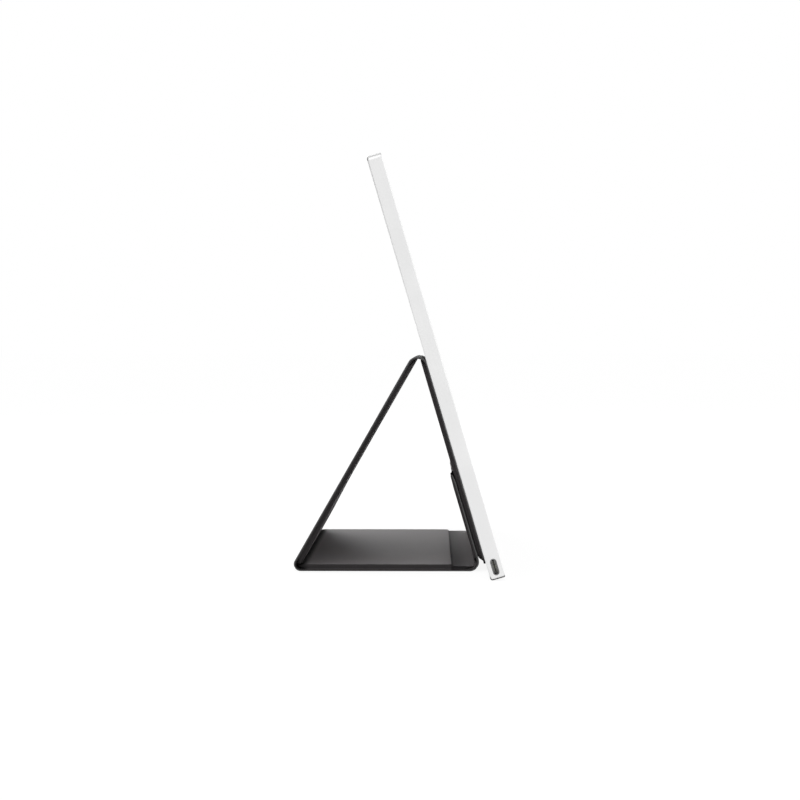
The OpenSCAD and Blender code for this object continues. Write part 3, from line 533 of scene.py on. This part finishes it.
def foldPiece(name, fold, faces, layer, finish, node):  # bent strip with a faint crease
    c = coverSizes
    x, z, r = plan[fold]
    half, steps = c["width"] / 2, 26
    side = stripEdge(layer)
    loop = [(depth, half - inset) for depth, inset in side]
    loop += [(depth, inset - half) for depth, inset in side[::-1]]
    turn = faces[1] - faces[0]
    bm = bmesh.new()
    rows = []
    for k in range(steps + 1):
        share = k / steps
        angle = radians(faces[0] + turn * share)
        crease = c["creaseDepth"] * exp(-((share - 0.5) * turn / c["creaseAngle"]) ** 2)
        row = []
        for depth, y in loop:
            reach = r - depth - (crease if depth < 0.3 else 0)
            row.append(bm.verts.new(Vector((x + reach * cos(angle), y,
                                            z + reach * sin(angle))) * mm))
        rows.append(row)
    count = len(loop)
    for first, second in zip(rows, rows[1:]):
        for i in range(count):
            k = (i + 1) % count
            bm.faces.new((first[i], first[k], second[k], second[i]))
    bm.faces.new(rows[0][::-1])
    bm.faces.new(rows[-1])
    piece = newPiece(name, bm, finishes[finish])
    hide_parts(node)
    middle = r - (c["skin"] + c["lining"]) / 2
    ends = [((x + middle * cos(radians(a))) * mm, 0, (z + middle * sin(radians(a))) * mm)
            for a in faces]
    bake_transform(piece)


def coverPanels():
    c = coverSizes
    backLen, span, baseLen = c["apexRise"] - c["freeRise"], plan["legSpan"], plan["baseLen"]
    flatEnd, free = c["padInset"] - c["freeSlope"], backLen - c["padInset"]
    panelPieces("backPanel", "back_panel", "apex", plan["backFace"], 0, backLen,
                lambda z: c["back"], foldEnd("apex", 0, -1),
                lambda x: free + flatEnd * (x - c["skin"]) / (c["back"] - c["skin"]),
                freeHigh=True, seed=1)
    panelPieces("legPanel", "leg_panel", "rear", plan["legFace"], 0, span,
                lambda z: c["legFoot"] + (c["leg"] - c["legFoot"]) * min(max(
                    (z - c["footLen"]) / c["taperLen"], 0), 1),
                foldEnd("rear", 0, -1), foldEnd("apex", span, 1), seed=2)
    panelPieces("basePanel", "base_panel", "front", plan["baseFace"], 0, baseLen,
                lambda z: c["base"], foldEnd("front", 0, -1), foldEnd("rear", baseLen, 1),
                shelf=(c["frontStrip"], c["bareStrip"]), seed=3)
    panelPieces("flap", "front_flap", "front", plan["flapFace"], -c["flapLen"], 0,
                lambda z: c["flap"] + (c["frontStrip"] - c["flap"]) * min(max(
                    1 + z / c["flapStepLen"], 0), 1),
                lambda x: c["padInset"] - c["flapLen"], foldEnd("front", 0, 1),
                freeLow=True, seed=4)


coverPanels()
for fold, faces, bodies in (
        ("apex", ("backFace", "legFace"), ("back_panel", "leg_panel")),
        ("rear", ("legFace", "baseFace"), ("leg_panel", "base_panel")),
        ("front", ("baseFace", "flapFace"), ("base_panel", "front_flap"))):
    for layer in ("skin", "lining"):
        foldPiece(fold + "Fold" + layer.capitalize(), fold, [plan[key] for key in faces], layer,
                  "cover_" + layer, fold + "_fold_" + layer)
print("cover made")

softened("rear_housing", "housing", "monitor", "housing_aluminium", 0.12)
softened("front_bezel", "bezel", "monitor", "bezel_plastic", 0.2)
softened("power_button", "powerButton", "power_button", "button_aluminium", 0.15)
softened("menu_button", "menuButton", "menu_button", "button_aluminium", 0.15)
for side in ("left", "right"):
    softened("usb_c_shell_" + side, "socketShell" + side.capitalize(), "monitor", "socket_steel",
             0.06)
    softened("usb_c_tongue_" + side, "socketTongue" + side.capitalize(), "monitor",
             "chip_plastic", 0.08)


def contactTree(finish):  # a row of small pads along Z
    tree = bpy.data.node_groups.new("contactRow", "GeometryNodeTree")
    for name, kind in (("Count", "NodeSocketInt"), ("Pitch", "NodeSocketFloat"),
                       ("Length", "NodeSocketFloat"), ("Width", "NodeSocketFloat"),
                       ("Thickness", "NodeSocketFloat")):
        tree.interface.new_socket(name, in_out="INPUT", socket_type=kind)
    tree.interface.new_socket("Geometry", in_out="OUTPUT", socket_type="NodeSocketGeometry")

    def add(kind, links={}, **settings):
        node = tree.nodes.new(kind)
        for key, value in settings.items():
            setattr(node, key, value)
        for key, source in links.items():
            tree.links.new(source, node.inputs[key])
        return node

    sizes = add("NodeGroupInput").outputs
    step = add("ShaderNodeCombineXYZ", {"Z": sizes["Pitch"]})
    row = add("GeometryNodeMeshLine", {"Count": sizes["Count"], "Offset": step.outputs[0]})
    size = add("ShaderNodeCombineXYZ", {"X": sizes["Thickness"], "Y": sizes["Length"],
                                        "Z": sizes["Width"]})
    pad = add("GeometryNodeMeshCube", {"Size": size.outputs[0]})
    pads = add("GeometryNodeInstanceOnPoints", {"Points": row.outputs[0],
                                                "Instance": pad.outputs[0]})
    real = add("GeometryNodeRealizeInstances", {0: pads.outputs[0]})
    gold = add("GeometryNodeSetMaterial", {"Geometry": real.outputs[0]})
    gold.inputs["Material"].default_value = finish
    add("NodeGroupOutput", {0: gold.outputs[0]})
    return tree


def contacts():  # both faces of both sockets' tongues
    s = dict(count=12, pitch=0.5, length=2.6, width=0.28, thick=0.06, tongueHalf=0.35, back=7.0,
             tongue=4.6, tip=0.5)
    tree = contactTree(contactGold)
    bm = bmesh.new()
    row = bpy.data.objects.new("contactRow", bpy.data.meshes.new("contactRow"))
    bpy.context.scene.collection.objects.link(row)
    modifier = row.modifiers.new("row", "NODES")
    modifier.node_group = tree
    wanted = dict(Count=s["count"], Pitch=s["pitch"] * mm, Length=s["length"] * mm,
                  Width=s["width"] * mm, Thickness=s["thick"] * mm)
    for item in tree.interface.items_tree:
        if item.name in wanted:
            modifier[item.identifier] = wanted[item.name]
    settle(row)
    half = monitorSizes["width"] / 2
    depth = s["back"] - s["tongue"] + s["tip"] + s["length"] / 2
    for side in (-1, 1):
        for face in (-1, 1):
            copy = row.data.copy()
            copy.transform(leaningPlace() @ Matrix.Translation(Vector((
                monitorSizes["thick"] / 2 + face * s["tongueHalf"], side * (half - depth),
                monitorSizes["socketRise"] - (s["count"] - 1) * s["pitch"] / 2)) * mm))
            bm.from_mesh(copy)
    bpy.data.objects.remove(row)
    piece = newPiece("socketContacts", bm, contactGold)
    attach(piece, "monitor")


contacts()
print("monitor made")

# nodes that keep their own shape get their finish
slotOf = {part["node"]: part["material_slot"] for part in frame["record"]["subparts"]}
for name, node in frame["nodes"].items():
    finish = finishes[slotOf[name]]
    if node.material_slots:
        for place in node.material_slots:
            place.material = finish
    else:
        node.data.materials.append(finish)


def seenRays(tree):  # 1 for rays from the camera, in reflections and through glass
    rays = tree.nodes.new("ShaderNodeLightPath").outputs
    seen = rays["Is Camera Ray"]
    for ray in ("Is Glossy Ray", "Is Transmission Ray"):
        larger = tree.nodes.new("ShaderNodeMath")
        larger.operation = "MAXIMUM"
        tree.links.new(seen, larger.inputs[0])
        tree.links.new(rays[ray], larger.inputs[1])
        seen = larger.outputs[0]
    return seen


def whiteStage():
    s = dict(half=40, low=126, high=130, cloud=400, glow=0.9, ambient=0.45)
    bm = bmesh.new()
    bmesh.ops.create_grid(bm, x_segments=2, y_segments=2, size=s["half"])
    f = Finish("stageFloor")
    matt = f.add("ShaderNodeBsdfDiffuse", {}, {
        "Color": f.mix(f.noise(s["cloud"]), tone(s["low"]), tone(s["high"]))})
    glow = f.add("ShaderNodeEmission", {}, {"Color": (1, 1, 1, 1), "Strength": s["glow"]})
    both = f.add("ShaderNodeAddShader", {}, {0: matt, 1: glow})
    seen = Signal(f, seenRays(f.tree))
    finish = f.finished(f.add("ShaderNodeMixShader", {}, {0: seen, 1: matt, 2: both}))
    floor = newPiece("stageFloor", bm, finish)

    world = bpy.data.worlds.new("studio")
    bpy.context.scene.world = world
    world.use_nodes = True
    nodes, links = world.node_tree.nodes, world.node_tree.links
    nodes.clear()
    out = nodes.new("ShaderNodeOutputWorld")
    plain, ambient = nodes.new("ShaderNodeBackground"), nodes.new("ShaderNodeBackground")
    ambient.inputs["Strength"].default_value = s["ambient"]
    choice = nodes.new("ShaderNodeMixShader")
    links.new(seenRays(world.node_tree), choice.inputs[0])
    links.new(ambient.outputs[0], choice.inputs[1])
    links.new(plain.outputs[0], choice.inputs[2])
    links.new(choice.outputs[0], out.inputs[0])
    plain.inputs["Color"].default_value = ambient.inputs["Color"].default_value = (1, 1, 1, 1)


def greyCards():  # cards round the set, seen only as reflections along metal edges
    # the dark card just over the floor under the monitor is a painted contact shadow, seen in the
    # housing's bottom edge
    levels = dict(left=12, roof=212, contactShadow=24)
    c = dict(far=4.0, height=1.6, leftNear=(-2.2, -0.5), leftFar=-0.85, roofNear=-0.8,
             roofHalf=1.6, underX=(0.055, 0.073), underY=(-0.179, 0.179), underZ=0.0004,
             spread=12, cloud=60)  # metres, then levels and millimetres of their unevenness
    far, height, half, low = c["far"], c["height"], c["roofHalf"], c["underZ"]
    (x0, x1), (y0, y1) = c["underX"], c["underY"]
    (leftX, leftY), leftFar, near = c["leftNear"], c["leftFar"], c["roofNear"]
    corners = dict(
        left=[(leftX, leftY, 0), (leftFar, far, 0), (leftFar, far, height),
              (leftX, leftY, height)],
        roof=[(-half, near, height), (half, near, height), (half, far, height),
              (-half, far, height)],
        contactShadow=[(x0, y0, low), (x1, y0, low), (x1, y1, low), (x0, y1, low)])
    for name, places in corners.items():
        bm = bmesh.new()
        bm.faces.new([bm.verts.new(place) for place in places])
        f = Finish(name + "Card")
        glow = f.add("ShaderNodeEmission", {}, {"Color": f.mix(
            f.noise(c["cloud"], 3), tone(levels[name]), tone(levels[name] + c["spread"]))})
        card = newPiece(name + "Card", bm, f.finished(glow))
        for ray in ("camera", "diffuse", "transmission", "volume_scatter", "shadow"):
            setattr(card, "visible_" + ray, False)


def softbox(name, place, aim, size, power):
    light = bpy.data.lights.new(name, "AREA")
    light.shape, light.size, light.size_y, light.energy = "RECTANGLE", size[0], size[1], power
    lamp = bpy.data.objects.new(name, light)
    lamp.location = place
    lamp.rotation_euler = (Vector(aim) - Vector(place)).to_track_quat("-Z", "Y").to_euler()
    bpy.context.scene.collection.objects.link(lamp)


def camera():
    c = dict(place=(0.0272, -1.39776, 0.12904), yaw=0.8402, pitch=1.3789, focus=2220.9,
             picture=800, sensor=36, near=0.05, far=60)  # focus and picture in the same unit
    yaw, pitch = radians(c["yaw"]), radians(c["pitch"])
    data = bpy.data.cameras.new("camera")
    data.sensor_width = c["sensor"]
    data.lens = c["focus"] / c["picture"] * data.sensor_width
    data.clip_start, data.clip_end = c["near"], c["far"]
    eye = bpy.data.objects.new("camera", data)
    eye.location = c["place"]
    aim = Vector((-sin(yaw) * cos(pitch), cos(yaw) * cos(pitch), -sin(pitch)))
    eye.rotation_euler = aim.to_track_quat("-Z", "Y").to_euler()
    bpy.context.scene.collection.objects.link(eye)
    bpy.context.scene.camera = eye


whiteStage()
greyCards()
softboxes = dict(  # place, aim, size and power, in metres and watts
    backLight=((-0.7, 2.3, 1.0), (0, 0, 0), (1.6, 1.0), 15),
    keyLight=((-0.9, -1.3, 2.0), (0, 0, 0.1), (1.6, 1.6), 8),
    fillLight=((1.8, -0.6, 1.2), (0, 0, 0.1), (1.4, 1.4), 5))
for name, setting in softboxes.items():
    softbox(name, *setting)
camera()
bpy.context.scene.view_settings.view_transform = "Standard"
print("stage set")
